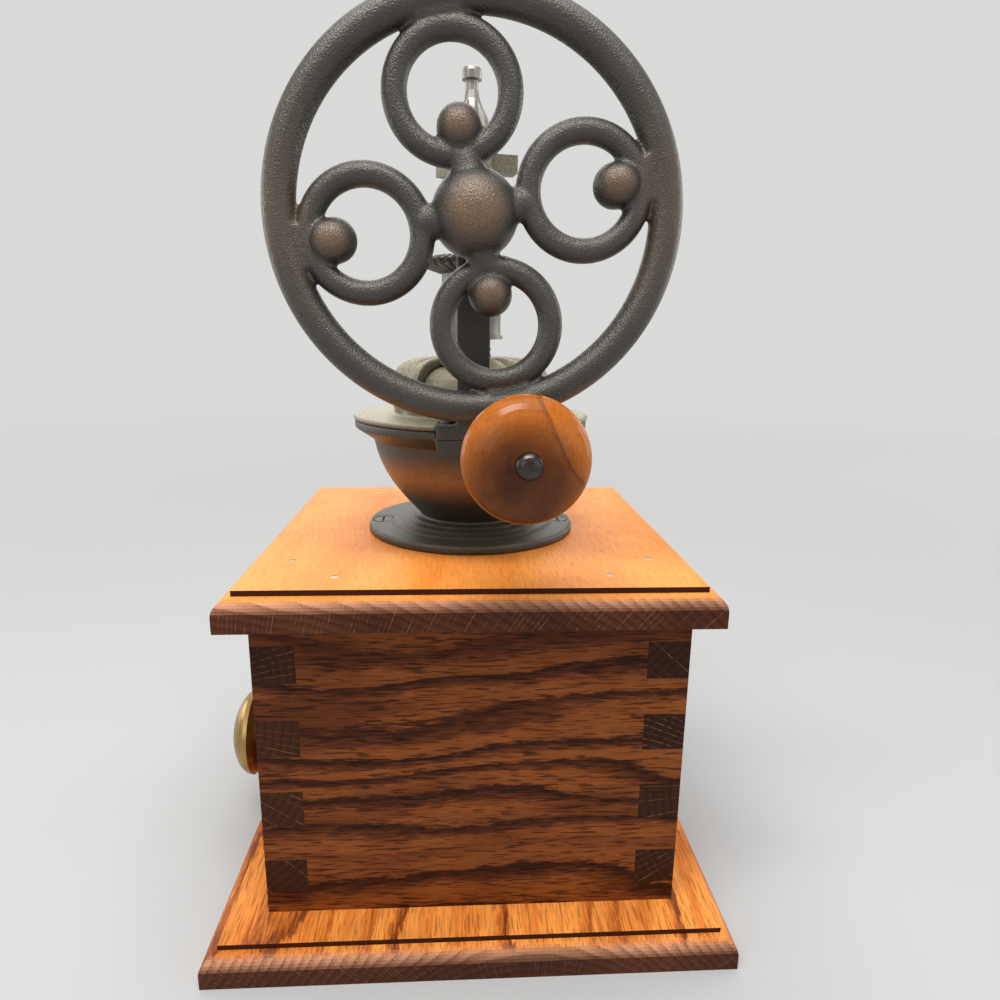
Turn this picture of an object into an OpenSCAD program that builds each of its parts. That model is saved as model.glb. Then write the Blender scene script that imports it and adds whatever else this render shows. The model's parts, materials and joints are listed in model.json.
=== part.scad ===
// Side-wheel coffee mill: a finger-jointed box with a drawer, an iron hopper with a lobed cover,
// and a flywheel that turns the burr through a pair of bevel gears under an arched yoke.
// Millimetres, +Z up. The origin is the centre of the base board's underside.
// The drawer faces -Y and the flywheel stands on the +X side.

/* [Boards] */
// Width of the square base board
base_w = 190.5; // [182:0.5:215]
// Width of the square top board
top_w = 169.3; // [163:0.1:185]
// Thickness of the base and top boards
board_t = 13; // [11:0.5:16]
// Radius of the rounded board edge
edge_r = 5.3; // [3:0.1:6]
// Height of the small step above the rounded edge
edge_step = 2; // [1:0.1:3]

/* [Box] */
// Outer width of the square box
box_w = 151.5; // [140:0.5:158]
// Height of the box between the boards
box_h = 114.6; // [108:0.2:135]
// Thickness of the box walls
wall_t = 15; // [12:0.5:18]
// Height of one finger of the corner joints
finger_h = 14; // [11:0.5:15]
// Number of fingers that show on the wheel side at each corner
finger_count = 4; // [3:1:4]
// Radius of a brad that holds the top board
brad_r = 0.9; // [0.7:0.1:1.2]
// Length of a brad
brad_l = 25; // [20:1:32]

/* [Drawer] */
// Width of the drawer opening
drawer_open_w = 104; // [90:1:112]
// Height of the drawer opening
drawer_open_h = 59; // [50:0.5:64]
// Gap round the drawer front
drawer_gap = 0.6; // [0.4:0.1:1.2]
// Thickness of the drawer sides and back
drawer_side_t = 7; // [6:0.5:9]
// Thickness of the drawer bottom
drawer_bottom_t = 4; // [3:0.5:5]
// Height of the drawer sides
drawer_side_h = 48; // [40:0.5:49]
// Depth of the grooves that hold the drawer bottom
groove_d = 3; // [2:0.5:4]
// Radius of the brass drawer knob
drawer_knob_r = 19; // [15:0.5:22]
// Reach of the brass drawer knob from the drawer front
drawer_knob_reach = 32; // [26:0.5:36]

/* [Hopper] */
// Radius of the round foot flange
flange_r = 43.7; // [41:0.1:48]
// Thickness of the foot flange at its edge
flange_t = 3.5; // [3:0.1:5]
// Radius of the circle of the flange screws
flange_screw_r = 38; // [36.5:0.1:39.5]
// Radius of the neck above the flange
neck_r = 18.8; // [18.4:0.1:20]
// Outer radius of the bowl under its rim
bowl_r = 40.8; // [40:0.1:43]
// Wall thickness of the bowl
bowl_wall = 3.2; // [2.8:0.1:3.6]
// Outer radius of the bowl's rim
rim_r = 48.3; // [47:0.1:50.5]
// Height of the rim's top above the top board
rim_h = 47.6; // [46:0.1:52]
// Height of the rim's outer band
rim_band = 3; // [2:0.1:4]

/* [Burrs] */
// Outer radius of the skirt that holds the burr ring
skirt_r = 27; // [26.5:0.1:29]
// Depth of the skirt under the top board's upper face
skirt_h = 22; // [21:0.5:26]
// Outer radius of the burr ring
ring_burr_r = 22; // [21.5:0.1:22.5]
// Height of the burr ring
ring_burr_h = 18; // [16:0.5:19]
// Radius of the throat above the burr ring
throat_r = 15.3; // [14:0.1:15.6]
// Gap between the burrs at the coarse setting, square to their faces
burr_gap = 0.7; // [0.6:0.05:1]
// Teeth of the burr ring
ring_burr_teeth = 16; // [12:1:18]
// Teeth of the burr cone
cone_burr_teeth = 14; // [10:1:16]

/* [Cover] */
// Thickness of the cover's brim
brim_t = 2; // [1.6:0.1:2.6]
// Radius of the cover's brim
brim_r = 48.9; // [48.5:0.1:51]
// Radius of the dome
dome_r = 32; // [31:0.1:33.5]
// Height of the dome above the brim
dome_h = 22.4; // [21:0.1:23.5]
// Exponent of the dome's outline, where 2 is an ellipse
dome_power = 4; // [3:0.1:5]
// Wall thickness of the dome
dome_t = 1.8; // [1.6:0.1:2.6]
// Number of lobes round the dome
lobe_count = 16; // [12:1:20]
// Height of a lobe
lobe_rise = 1.5; // [0.6:0.1:1.8]
// Height of the window's sill above the brim
sill_h = 12.3; // [10:0.1:13.5]
// Wall thickness of the sliding door
door_t = 1.6; // [1.2:0.1:2]
// Gap between the door and the dome
door_gap = 0.35; // [0.3:0.05:0.5]

/* [Yoke] */
// Outer half width of the yoke, and of its feet
yoke_x = 50; // [49:0.1:52]
// Width of the arch
arch_w = 11.6; // [10:0.1:13]
// Thickness of the arch
arch_t = 6.8; // [6:0.1:8]
// Width of a foot
foot_w = 26.6; // [26:0.1:28]
// Thickness of a foot
foot_t = 5.8; // [5:0.1:7]
// Length of a foot towards the middle
foot_l = 11; // [10.5:0.1:11.2]
// Height of the crown's top above the top board
crown_h = 142.4; // [142:0.1:148]
// Radius of the crown
crown_r = 9.5; // [8.5:0.1:10.5]
// Radius of the bearing tube
tube_r = 7.6; // [7:0.1:9]

/* [Gears and shafts] */
// Height of the drive shaft's axis above the top board
shaft_h = 118.2; // [116:0.1:119.5]
// Radius of the drive shaft
shaft_r = 4; // [3.5:0.1:4.2]
// Radius of the spindle
spindle_r = 4; // [3.5:0.1:4.2]
// Running clearance of shafts in their bushes
run_gap = 0.06; // [0.03:0.01:0.1]
// Gear module at the outer end of the teeth
gear_module = 1.15; // [1.1:0.01:1.2]
// Teeth of the crown gear
crown_teeth = 36; // [34:1:38]
// Teeth of the pinion
pinion_teeth = 14; // [13:1:15]
// Length of the teeth
tooth_l = 6; // [5:0.1:7]
// Play between the teeth at the pitch line
backlash = 0.3; // [0.2:0.02:0.5]
// Radius of the crown gear's long hub
hub_tube_r = 12; // [11:0.1:13]
// How far the adjusting screw can lift the spindle
lift = 0.8; // [0.5:0.1:1]
// Radius of the spring's coil, to the middle of its wire
spring_r = 7.6; // [7:0.1:8.2]
// Radius of the spring's wire
spring_wire_r = 0.7; // [0.5:0.05:0.9]
// Turns of the spring
spring_turns = 7; // [5:1:8]

/* [Flywheel] */
// Distance of the flywheel's middle plane from the spindle
wheel_x = 68.5; // [67.5:0.1:75]
// Radius of the rim, to the middle of its round section
wheel_r = 59.4; // [58:0.1:64]
// Radius of the rim's round section
rim_tube_r = 5.2; // [4.5:0.1:6]
// Distance of each ring's centre from the hub's centre
ring_offset = 34.2; // [33:0.1:36]
// Radius of each ring, to the middle of its round section
ring_r = 17.3; // [16:0.1:18]
// Radius of a ring's round section
ring_tube_r = 3.9; // [3.4:0.1:4.5]
// Turn of the four rings from the level
ring_turn = 11.5; // [0:0.5:20]
// Radius of the bosses on the rings
ball_r = 6.9; // [6:0.1:7.5]
// Distance of a boss from its ring's round section
ball_inset = 7.6; // [6.5:0.1:8.5]
// Radius of the hub
hub_r = 13.5; // [12:0.1:14]
// How far the hub's dome stands out of the flywheel's plane
hub_dome = 11.5; // [9:0.1:14]
// Distance of the crank stud from the hub's centre
crank_r = 73.4; // [70:0.1:78]
// Radius of the ear that carries the crank stud
ear_r = 7.5; // [6.5:0.1:9]

/* [Crank knob] */
// Largest radius of the wooden knob
knob_r = 19.3; // [16:0.1:21]
// Length of the wooden knob
knob_l = 31.5; // [28:0.1:36]
// Radius of the crank stud
stud_r = 2.5; // [2:0.1:3]
// Radius of the crank stud's domed head
stud_head_r = 4; // [3.5:0.1:5]

/* [Grind adjustment] */
// Radius of the adjusting screw
screw_r = 4; // [3.6:0.1:4.2]
// Reach of the star nut's lugs
star_r = 17.6; // [15:0.1:19]
// Height of the star nut
star_h = 8.2; // [7:0.1:9]
// Height of the finial above the star nut
finial_h = 30.6; // [26:0.1:36]

/* [Hidden] */

$fn = 48;
// Small overlap that makes a cut run past a face
cut = 1;
// Gap between fitted pieces that do not move against each other
fit = 0.03;
// Gap between faces that slide on each other
slip = 0.2;

// Colours
oak = [0.42, 0.21, 0.11];
oak_light = [0.62, 0.33, 0.15];
inner_wood = [0.72, 0.55, 0.36];
iron = [0.14, 0.13, 0.13];
steel = [0.55, 0.55, 0.56];
bronze = [0.60, 0.42, 0.22];
brass = [0.78, 0.60, 0.28];
knob_wood = [0.72, 0.38, 0.12];

// Levels
box_z = board_t;
top_z = box_z + box_h;
mill_z = top_z + board_t;
shaft_z = mill_z + shaft_h;
rim_z = mill_z + rim_h;
brim_z = rim_z + brim_t;
crown_z = mill_z + crown_h;
half_box = box_w / 2;
inner_half = half_box - wall_t;

// Screws: radius, head radius and head height
wood_screw_r = 2;
wood_screw_head_r = 4;
wood_screw_head_h = 2.4;
small_screw_r = 1.9;
small_screw_head_r = 2.8;
small_screw_head_h = 1.9;
slot_w = 0.9;

// Turns the local +Z axis to +X, with local +X on +Y and local +Y on +Z
module along_x() { rotate([90, 0, 90]) children(); }

// Turns the local +Z axis to -Y, with local +Y on +Z
module along_minus_y() { rotate([90, 0, 0]) children(); }

// A block between two corners
module block(low, high) { translate(low) cube(high - low); }

// A turned piece from its half outline [[radius, height], ...]
module turned(points) { rotate_extrude() polygon(points); }

// A tube between two heights
module tube(outer, inner, z1, z2) {
    difference() {
        translate([0, 0, z1]) cylinder(r = outer, h = z2 - z1);
        translate([0, 0, z1 - cut]) cylinder(r = inner, h = z2 - z1 + 2 * cut);
    }
}

// Points of a quarter of a superellipse, from its widest point to the middle
function dome_line(r, h, steps) =
    [for (i = [0:steps]) let (a = 90 * i / steps)
        [i == steps ? 0 : r * pow(cos(a), 2 / dome_power), h * pow(sin(a), 2 / dome_power)]];

// Point of a cubic curve between four control points
function curve(p, t) =
    pow(1 - t, 3) * p[0] + 3 * t * pow(1 - t, 2) * p[1] + 3 * t * t * (1 - t) * p[2] + pow(t, 3) * p[3];

// Direction of that curve
function curve_way(p, t) =
    let (d = pow(1 - t, 2) * (p[1] - p[0]) + 2 * t * (1 - t) * (p[2] - p[1]) + t * t * (p[3] - p[2]))
        d / norm(d);

// Boards

// Edge outline of a board: square below, rounded, then a small step up to the flat top
function board_outline(w) =
    let (h = w / 2, shoulder = board_t - edge_step, steps = 8)
        concat(
            [[-h, 0], [h, 0]],
            [for (i = [0:steps]) let (a = 90 * i / steps)
                [h - edge_r + edge_r * cos(a), shoulder - edge_r + edge_r * sin(a)]],
            [[h - edge_r, board_t], [edge_r - h, board_t]],
            [for (i = [0:steps]) let (a = 90 - 90 * i / steps)
                [edge_r - h - edge_r * cos(a), shoulder - edge_r + edge_r * sin(a)]]
        );

module board(w, z) {
    translate([0, 0, z])
        intersection() {
            translate([0, w / 2, 0]) rotate([90, 0, 0]) linear_extrude(w) polygon(board_outline(w));
            translate([-w / 2, 0, 0]) along_x() linear_extrude(w) polygon(board_outline(w));
        }
}

// Places of the screws that hold the box to the base board
wall_mid = half_box - wall_t / 2;
base_screw_l = board_t + 18;
base_screw_places = [
    [wall_mid, 35], [wall_mid, -35], [-wall_mid, 35], [-wall_mid, -35], [35, wall_mid], [-35, wall_mid]
];
// Places of the brads: two into each wall
brad_line = half_box - 0.62 * wall_t;
brad_places = [for (s = [-1, 1], e = [-48, 48]) each [[s * brad_line, e], [e, s * brad_line]]];
brad_head_r = 1.5;

module base_board() {
    color(oak_light)
        difference() {
            board(base_w, 0);
            for (p = base_screw_places) translate([p[0], p[1], 0]) {
                translate([0, 0, -cut]) cylinder(r = wood_screw_r + fit, h = board_t + 2 * cut);
                translate([0, 0, -cut]) cylinder(r = wood_screw_head_r + slip, h = wood_screw_head_h + 1 + cut);
            }
        }
}

module base_screws() {
    color(steel)
        for (p = base_screw_places) translate([p[0], p[1], 1])
            difference() {
                union() {
                    cylinder(r = wood_screw_head_r, h = wood_screw_head_h);
                    cylinder(r = wood_screw_r, h = base_screw_l - 1);
                }
                block([-slot_w / 2, -wood_screw_head_r, -cut], [slot_w / 2, wood_screw_head_r, 1]);
            }
}

// Finger zones where the front and rear boards reach the side faces
end_strip = (box_h - (2 * finger_count - 1) * finger_h) / 2;
module finger_zones(low, high) {
    for (k = [0:finger_count - 1]) {
        z = box_z + end_strip + 2 * k * finger_h;
        block([low[0], low[1], z], [high[0], high[1], z + finger_h]);
    }
}

// Pilot holes of the base screws and brads that end in the walls
module wall_pilots() {
    for (p = base_screw_places) translate([p[0], p[1], box_z - cut])
        cylinder(r = wood_screw_r + fit, h = base_screw_l - board_t + slip + cut);
    for (p = brad_places) translate([p[0], p[1], mill_z - brad_l - slip])
        cylinder(r = brad_r + fit, h = brad_l + slip);
}

module side_panel(side) {
    color(oak)
        difference() {
            block([side > 0 ? inner_half : -half_box, -half_box, box_z],
                  [side > 0 ? half_box : -inner_half, half_box, top_z]);
            for (e = [-1, 1])
                finger_zones([-half_box - cut, e > 0 ? inner_half : -half_box - cut],
                             [half_box + cut, e > 0 ? half_box + cut : -inner_half]);
            wall_pilots();
        }
}
module wheel_side_panel() { side_panel(1); }
module far_side_panel() { side_panel(-1); }

module end_panel(side) {
    y1 = side > 0 ? inner_half : -half_box;
    y2 = side > 0 ? half_box : -inner_half;
    block([-inner_half, y1, box_z], [inner_half, y2, top_z]);
    finger_zones([-half_box, y1], [-inner_half + cut, y2]);
    finger_zones([inner_half - cut, y1], [half_box, y2]);
}
module rear_panel() {
    color(oak) difference() { end_panel(1); wall_pilots(); }
}
module front_panel() {
    color(oak)
        difference() {
            end_panel(-1);
            block([-drawer_open_w / 2, -half_box - cut, box_z - cut],
                  [drawer_open_w / 2, -inner_half + cut, box_z + drawer_open_h]);
            wall_pilots();
        }
}

flange_screw_l = 15;
module top_board() {
    color(oak_light)
        difference() {
            board(top_w, top_z);
            translate([0, 0, top_z - cut]) cylinder(r = skirt_r + 1, h = board_t + 2 * cut);
            for (s = [-1, 1]) translate([0, s * flange_screw_r, mill_z + flange_t - flange_screw_l - slip])
                cylinder(r = wood_screw_r + fit, h = flange_screw_l + slip);
            for (p = brad_places) translate([p[0], p[1], top_z - cut]) {
                cylinder(r = brad_r + fit, h = board_t + 2 * cut);
                translate([0, 0, cut + board_t - 0.8]) cylinder(r = brad_head_r + fit, h = cut + 0.8);
            }
        }
}
module top_brads() {
    color(steel)
        for (p = brad_places) translate([p[0], p[1], mill_z]) {
            translate([0, 0, -brad_l]) cylinder(r = brad_r, h = brad_l - 0.4);
            translate([0, 0, -0.8]) cylinder(r = brad_head_r, h = 0.7);
        }
}

// Drawer

drawer_half = drawer_open_w / 2 - drawer_gap;
drawer_z = box_z + slip;
drawer_front_y = -half_box;
drawer_in_y = -inner_half;
drawer_back_y = inner_half - 2;
drawer_bottom_z = drawer_z + 4;
drawer_knob_z = box_z + drawer_open_h / 2;

module drawer_guides() {
    color(inner_wood)
        for (s = [-1, 1]) {
            x1 = drawer_half + 0.4;
            block([s > 0 ? x1 : -inner_half, -inner_half, box_z], [s > 0 ? inner_half : -x1, inner_half, box_z + 10]);
        }
}
module drawer_front() {
    color(oak)
        difference() {
            block([-drawer_half, drawer_front_y, drawer_z],
                  [drawer_half, drawer_in_y, box_z + drawer_open_h - drawer_gap]);
            drawer_bottom_groove();
            translate([0, drawer_in_y + cut, drawer_knob_z])
                along_minus_y() cylinder(r = wood_screw_r + 0.1, h = wall_t + 2 * cut);
        }
}
// Room for the bottom board, grooved into the front and the sides
module drawer_bottom_groove() {
    block([-drawer_half + drawer_side_t - groove_d - fit, drawer_in_y - groove_d - fit, drawer_bottom_z - fit],
          [drawer_half - drawer_side_t + groove_d + fit, drawer_back_y + cut, drawer_bottom_z + drawer_bottom_t + fit]);
}
module drawer_side(s) {
    color(inner_wood)
        difference() {
            block([s > 0 ? drawer_half - drawer_side_t : -drawer_half, drawer_in_y, drawer_z],
                  [s > 0 ? drawer_half : -drawer_half + drawer_side_t, drawer_back_y, drawer_z + drawer_side_h]);
            drawer_bottom_groove();
        }
}
module drawer_left_side() { drawer_side(-1); }
module drawer_right_side() { drawer_side(1); }
module drawer_back() {
    color(inner_wood)
        block([-drawer_half + drawer_side_t, drawer_back_y - drawer_side_t, drawer_bottom_z + drawer_bottom_t + fit],
              [drawer_half - drawer_side_t, drawer_back_y, drawer_z + drawer_side_h]);
}
module drawer_bottom() {
    color(inner_wood)
        block([-drawer_half + drawer_side_t - groove_d, drawer_in_y - groove_d, drawer_bottom_z],
              [drawer_half - drawer_side_t + groove_d, drawer_back_y, drawer_bottom_z + drawer_bottom_t]);
}

drawer_knob_bore = 14;
module drawer_knob() {
    r = drawer_knob_r;
    l = drawer_knob_reach;
    color(brass) translate([0, drawer_front_y, drawer_knob_z]) along_minus_y()
        difference() {
            turned(concat(
                [[0, 0], [0.52 * r, 0], [0.54 * r, 1.6], [0.42 * r, 3.2], [0.33 * r, 6], [0.32 * r, 10],
                 [0.40 * r, 14], [0.62 * r, 17.5], [0.92 * r, l - 11.5]],
                [for (i = [0:8]) let (a = 90 * i / 8) [r * cos(a), l - 9.5 + 9.5 * sin(a)]]
            ));
            translate([0, 0, -cut]) cylinder(r = wood_screw_r + fit, h = drawer_knob_bore + cut);
        }
}
module drawer_knob_screw() {
    color(steel) translate([0, drawer_in_y, drawer_knob_z]) along_minus_y()
        difference() {
            union() {
                cylinder(r = wood_screw_r, h = wall_t + drawer_knob_bore - 0.5);
                translate([0, 0, -2]) cylinder(r = wood_screw_head_r, h = 2);
            }
            block([-slot_w / 2, -wood_screw_head_r, -2 - cut], [slot_w / 2, wood_screw_head_r, -1]);
        }
}

// Hopper bowl

flange_step = 0.8;
bowl_top = rim_h - rim_band - 5;
bowl_curve = [[neck_r, flange_t], [neck_r + 7.5, flange_t + 9.5], [bowl_r - 2.8, bowl_top - 17.5], [bowl_r, bowl_top]];
bowl_steps = 10;
bowl_out = [for (i = [0:bowl_steps]) curve(bowl_curve, i / bowl_steps)];
bowl_in = [for (i = [0:bowl_steps])
    let (t = i / bowl_steps, w = curve_way(bowl_curve, t)) curve(bowl_curve, t) + bowl_wall * [-w[1], w[0]]];
mouth_r = bowl_in[bowl_steps][0];

shelf_h = rim_h + brim_t - foot_t + 1;
shelf_z = mill_z + shelf_h;
foot_x = yoke_x - foot_l;
yoke_screw_y = foot_w / 2 - small_screw_head_r - 1.4;
yoke_screw_x = yoke_x - foot_l / 2;
boss_h = 6;
yoke_screw_bite = boss_h - 1;

// Room for a foot of the yoke, cut through the rim and the cover's brim
module foot_room(z1, z2) {
    for (s = [-1, 1])
        block([s > 0 ? foot_x - slip : -brim_r - 5, -foot_w / 2 - slip, z1],
              [s > 0 ? brim_r + 5 : -foot_x + slip, foot_w / 2 + slip, z2]);
}

// Cast shelf that carries a foot, with rounded lower corners
module foot_shelf(s) {
    corner = 4;
    w = foot_w / 2;
    translate([s > 0 ? mouth_r - 3 : -yoke_x, 0, shelf_z - boss_h])
        along_x() linear_extrude(yoke_x - mouth_r + 3)
            union() {
                translate([-w, corner]) square([2 * w, boss_h - corner]);
                translate([corner - w, 0]) square([2 * (w - corner), boss_h]);
                for (e = [-1, 1]) translate([e * (w - corner), corner]) circle(corner);
            }
}

module hopper_bowl() {
    color(iron) translate([0, 0, mill_z])
        difference() {
            union() {
                // Stepped flange, neck, bowl and rim
                turned(concat(
                    [[0, 0], [flange_r, 0], [flange_r, flange_t - 0.7], [flange_r - 0.7, flange_t],
                     [0.79 * flange_r, flange_t], [0.78 * flange_r, flange_t + flange_step],
                     [0.69 * flange_r, flange_t + flange_step], [0.68 * flange_r, flange_t + 2 * flange_step],
                     [0.59 * flange_r, flange_t + 2 * flange_step], [0.58 * flange_r, flange_t + 3 * flange_step],
                     [neck_r + 3.2, flange_t + 3 * flange_step], [neck_r + 2.2, flange_t + 4 * flange_step]],
                    [for (i = [2:bowl_steps]) bowl_out[i]],
                    [[rim_r - 1.2, rim_h - rim_band - 0.8], [rim_r, rim_h - rim_band], [rim_r, rim_h], [0, rim_h]]
                ));
                translate([0, 0, -skirt_h]) cylinder(r = skirt_r, h = skirt_h + cut);
                for (s = [-1, 1]) translate([0, 0, -mill_z]) foot_shelf(s);
            }
            // Inside of the bowl, the throat and the seat of the burr ring
            turned(concat(bowl_in, [[mouth_r, rim_h + cut], [0, rim_h + cut], [0, bowl_in[0][1]]]));
            cylinder(r = throat_r, h = bowl_in[1][1]);
            translate([0, 0, -skirt_h - cut]) cylinder(r = ring_burr_r, h = skirt_h + 2 * cut);
            foot_room_in_bowl();
            for (s = [-1, 1]) {
                translate([0, s * flange_screw_r, -cut]) cylinder(r = wood_screw_r + 0.2, h = flange_t + 2 * cut);
                translate([0, s * flange_screw_r, flange_t - wood_screw_head_h])
                    cylinder(r = wood_screw_head_r + slip, h = wood_screw_head_h + cut);
                translate([s * bridge_screw_r, 0, -skirt_h - cut]) cylinder(r = bridge_screw_d / 2 + fit, h = 10 + cut);
                for (e = [-1, 1]) translate([s * yoke_screw_x, e * yoke_screw_y, shelf_h - yoke_screw_bite])
                    cylinder(r = small_screw_r + fit, h = yoke_screw_bite + cut);
            }
        }
}
module foot_room_in_bowl() { foot_room(shelf_h, rim_h + cut); }

module flange_screws() {
    color(steel)
        for (s = [-1, 1]) translate([0, s * flange_screw_r, mill_z + flange_t])
            difference() {
                union() {
                    translate([0, 0, -flange_screw_l]) cylinder(r = wood_screw_r, h = flange_screw_l - 1);
                    translate([0, 0, -wood_screw_head_h]) cylinder(r = wood_screw_head_r, h = wood_screw_head_h - 0.5);
                }
                block([-wood_screw_head_r, -slot_w / 2, -1.4], [wood_screw_head_r, slot_w / 2, cut]);
            }
}

// Burrs. Both are cones that widen downwards, with slanted grooves.

ring_top = cut;
ring_bottom = ring_top - ring_burr_h;
ring_in_top = throat_r - 2.6;
ring_in_bottom = ring_burr_r - 1.8;
burr_lean = atan((ring_in_bottom - ring_in_top) / ring_burr_h);
cone_gap = burr_gap / cos(burr_lean);
cone_bottom = ring_bottom - 0.5;
cone_top = ring_top + 7;
cone_nose_r = spindle_r + 3.5;
burr_skew = 14;
function ring_in_at(z) = ring_in_top + (ring_top - z) * tan(burr_lean);

module burr_ring() {
    color(steel) translate([0, 0, mill_z])
        difference() {
            translate([0, 0, ring_bottom]) cylinder(r = ring_burr_r - fit, h = ring_burr_h);
            turned([[0, ring_bottom - cut], [ring_in_at(ring_bottom - cut), ring_bottom - cut],
                    [ring_in_at(ring_top + cut), ring_top + cut], [0, ring_top + cut]]);
            for (i = [0:ring_burr_teeth - 1]) rotate([0, 0, 360 * i / ring_burr_teeth])
                burr_groove(0.8, 4);
        }
}
// A slanted V groove along the burr's cone, as deep as stated, from just over to just under it
module burr_groove(depth, width) {
    translate([ring_in_at(ring_bottom), 0, ring_bottom])
        rotate([0, -burr_lean, 0]) rotate([burr_skew, 0, 0]) translate([0, 0, -ring_burr_h])
            linear_extrude(3 * ring_burr_h) polygon([[depth, 0], [-depth, -width / 2], [-depth, width / 2]]);
}

module burr_cone() {
    base_r = ring_in_at(cone_bottom) - cone_gap;
    top_r = ring_in_at(ring_top) - cone_gap;
    color(steel) translate([0, 0, mill_z])
        difference() {
            turned([[0, cone_bottom], [base_r - 0.6, cone_bottom], [base_r, cone_bottom + 0.6], [top_r, ring_top],
                    [cone_nose_r, cone_top - 1], [cone_nose_r - 1, cone_top], [0, cone_top]]);
            translate([0, 0, cone_bottom - cut]) cylinder(r = spindle_r + fit, h = cone_top - cone_bottom + 2 * cut);
            for (i = [0:cone_burr_teeth - 1]) rotate([0, 0, 360 * i / cone_burr_teeth])
                translate([-cone_gap, 0, 0]) mirror([1, 0, 0])
                    translate([-2 * ring_in_at(ring_bottom), 0, 0]) cone_groove();
        }
}
// The cone's groove, which leans the same way as the ring's but cuts inwards
module cone_groove() {
    translate([ring_in_at(ring_bottom), 0, ring_bottom])
        rotate([0, burr_lean, 0]) rotate([burr_skew, 0, 0]) translate([0, 0, -ring_burr_h])
            linear_extrude(3 * ring_burr_h) polygon([[0.9, 0], [-0.9, -2], [-0.9, 2]]);
}

// Lower bridge across the skirt, which guides the spindle
bridge_t = 6;
bridge_w = 13;
bridge_z = mill_z - skirt_h - bridge_t;
bridge_boss_h = 4;
bridge_screw_r = (skirt_r + ring_burr_r) / 2;
bridge_screw_d = 2.6;
lower_bush_r = spindle_r + 2.5;

module lower_bridge() {
    color(iron)
        difference() {
            union() {
                intersection() {
                    block([-skirt_r, -bridge_w / 2, bridge_z], [skirt_r, bridge_w / 2, bridge_z + bridge_t]);
                    translate([0, 0, bridge_z]) cylinder(r = skirt_r, h = bridge_t);
                }
                translate([0, 0, bridge_z - bridge_boss_h]) cylinder(r = lower_bush_r + 2.5, h = bridge_t + bridge_boss_h);
            }
            translate([0, 0, bridge_z - bridge_boss_h - cut])
                cylinder(r = lower_bush_r, h = bridge_t + bridge_boss_h + 2 * cut);
            for (s = [-1, 1]) translate([s * bridge_screw_r, 0, bridge_z - cut])
                cylinder(r = bridge_screw_d / 2 + 0.1, h = bridge_t + 2 * cut);
        }
}
module bridge_screws() {
    color(steel)
        for (s = [-1, 1]) translate([s * bridge_screw_r, 0, bridge_z])
            difference() {
                union() {
                    translate([0, 0, -1.8]) cylinder(r = 2.4, h = 1.8);
                    cylinder(r = bridge_screw_d / 2, h = bridge_t + 9);
                }
                block([-0.3, -2.4, -1.8 - cut], [0.3, 2.4, -1]);
            }
}
module lower_bush() {
    color(bronze) tube(lower_bush_r - fit, spindle_r + run_gap, bridge_z - bridge_boss_h, bridge_z + bridge_t);
}

// Spindle, with a shallow dimple at its top for the thrust ball
ball_seat_r = 3.5;
crown_bore_r = screw_r + 0.1;
crown_bottom = crown_z - 21;
crown_bush_l = 8;
spindle_bottom = bridge_z - bridge_boss_h - 2;
spindle_top = crown_z - 14.5;
ball_z = spindle_top + 0.1 + ball_seat_r - 0.7;
screw_tip = ball_z + ball_seat_r + 0.1;

module spindle() {
    color(steel)
        difference() {
            turned([[0, spindle_bottom], [spindle_r - 0.6, spindle_bottom], [spindle_r, spindle_bottom + 0.6],
                    [spindle_r, spindle_top - 0.4], [spindle_r - 0.4, spindle_top], [0, spindle_top]]);
            translate([0, 0, ball_z]) sphere(ball_seat_r + 0.1);
            translate([0, 0, gear_pin_z]) rotate([90, 0, gear_pin_turn]) cylinder(r = pin_r + fit, h = 4 * spindle_r, center = true);
        }
}

// Bevel gears. Both pitch cones have their points where the two axes cross.

crown_pitch_r = crown_teeth * gear_module / 2;
pinion_pitch_r = pinion_teeth * gear_module / 2;
cone_l = sqrt(crown_pitch_r * crown_pitch_r + pinion_pitch_r * pinion_pitch_r);
crown_add = 0.7 * gear_module;
pinion_add = 1.1 * gear_module;
tooth_foot = 0.25 * gear_module;
pressure = 20;

// Involute angle in degrees
function involute(a) = tan(a) * 180 / PI - a;

// Half width of a tooth, in degrees round its own axis, at a height over the pitch cone
function tooth_half(pitch_r, own_cone, h) =
    let (back_r = pitch_r / cos(own_cone), base_r = back_r * cos(pressure), here = max(back_r + h, base_r),
         half = (PI * gear_module / 2 - backlash) / 2)
        (half / back_r * 180 / PI + involute(pressure) - involute(acos(base_r / here))) / cos(own_cone);

// One bevel gear: axis on Z, its cone's point at the origin and its back below.
// Heights over the pitch cone run up one flank of a tooth and down the other.
module bevel_teeth(count, own_cone, add, ded, back_z, front_z) {
    pitch_r = cone_l * sin(own_cone);
    heights = [-ded, -ded / 2, 0, add / 2, add];
    flank = len(heights);
    around = 2 * flank * count;
    toe = (cone_l - tooth_l) / cone_l;
    outline = [for (k = [0:count - 1], j = [0:2 * flank - 1])
        let (i = j < flank ? j : 2 * flank - 1 - j, h = heights[i],
             a = 360 * k / count + (j < flank ? -1 : 1) * tooth_half(pitch_r, own_cone, h),
             r = pitch_r + h * cos(own_cone), z = -cone_l * cos(own_cone) + h * sin(own_cone))
            [r * cos(a), r * sin(a), z]];
    points = concat(outline, toe * outline, [[0, 0, back_z], [0, 0, front_z]]);
    sides = [for (i = [0:around - 1]) let (n = (i + 1) % around)
        each [[i, i + around, n], [n, i + around, n + around]]];
    back = [for (i = [0:around - 1]) [i, (i + 1) % around, 2 * around]];
    front = [for (i = [0:around - 1]) [(i + 1) % around + around, i + around, 2 * around + 1]];
    polyhedron(points, concat(sides, back, front));
}

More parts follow.
